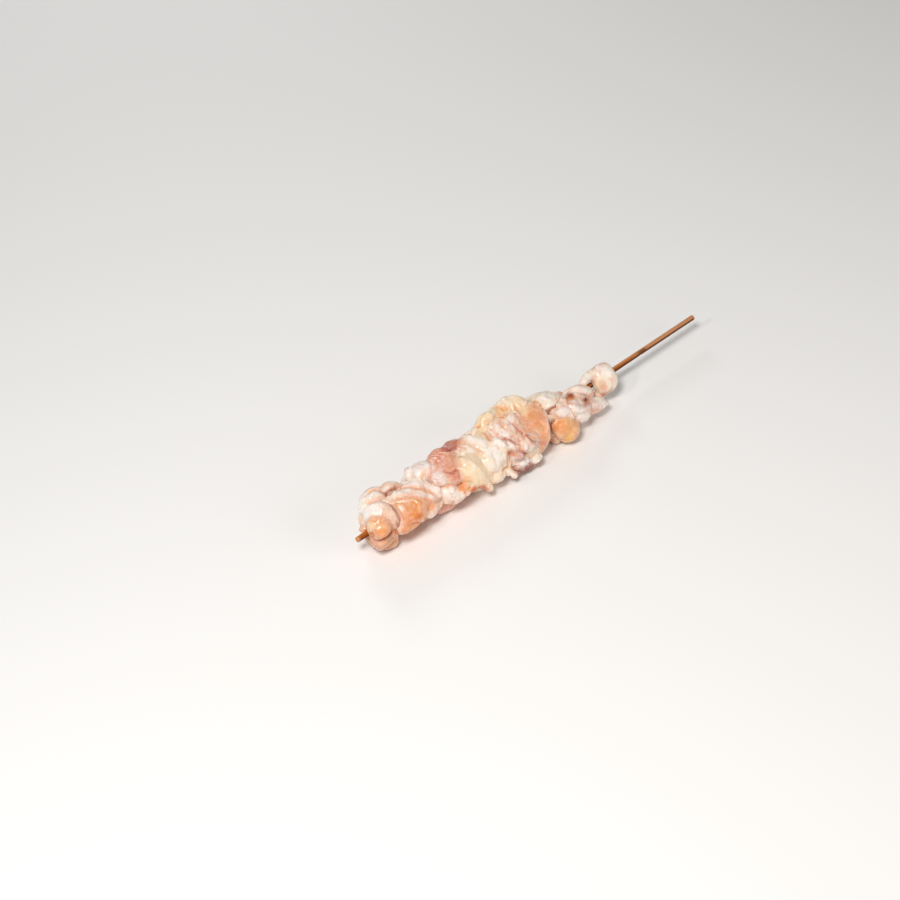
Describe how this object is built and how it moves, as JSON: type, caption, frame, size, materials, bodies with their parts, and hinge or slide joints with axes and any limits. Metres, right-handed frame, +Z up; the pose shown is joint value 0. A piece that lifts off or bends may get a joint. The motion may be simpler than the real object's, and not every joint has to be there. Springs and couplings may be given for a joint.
{
  "type": "chicken kebab skewer",
  "caption": "Raw chicken kebab: folded thigh meat, skin and fat threaded on a round bamboo stick with a bare handle, lying on its side.",
  "frame": {"origin": "middle of the bounding box's bottom, on the surface that the skewer lies on", "axes": "+X along the stick from its tip to its bare handle, -Y towards the shown front, +Z up"},
  "size_m": [0.25, 0.0368, 0.033],
  "materials": {
    "bamboo": "bare split bamboo, fine grain along the stick",
    "flesh": null,
    "pink_flesh": null,
    "skin": null,
    "cream_fat": null,
    "yellow_fat": null
  },
  "bodies": {
    "root": {"stick": "bamboo", "collar_skin": "skin", "layer_skin": "skin", "pale_knob": "skin", "yellow_fat": "yellow_fat", "white_roll": "cream_fat", "cream_cap": "cream_fat", "peach_flap": "flesh", "orange_blob": "yellow_fat", "small_loop": "skin", "big_loop": "skin", "back_fat": "cream_fat", "back_skin": "skin", "ivory_ruffle": "cream_fat", "tip_flesh": "flesh", "peach_flesh": "flesh", "salmon_flesh": "pink_flesh", "cream_fat": "cream_fat", "marbled_flesh": "pink_flesh", "end_folds": "skin"}
  },
  "joints": []
}
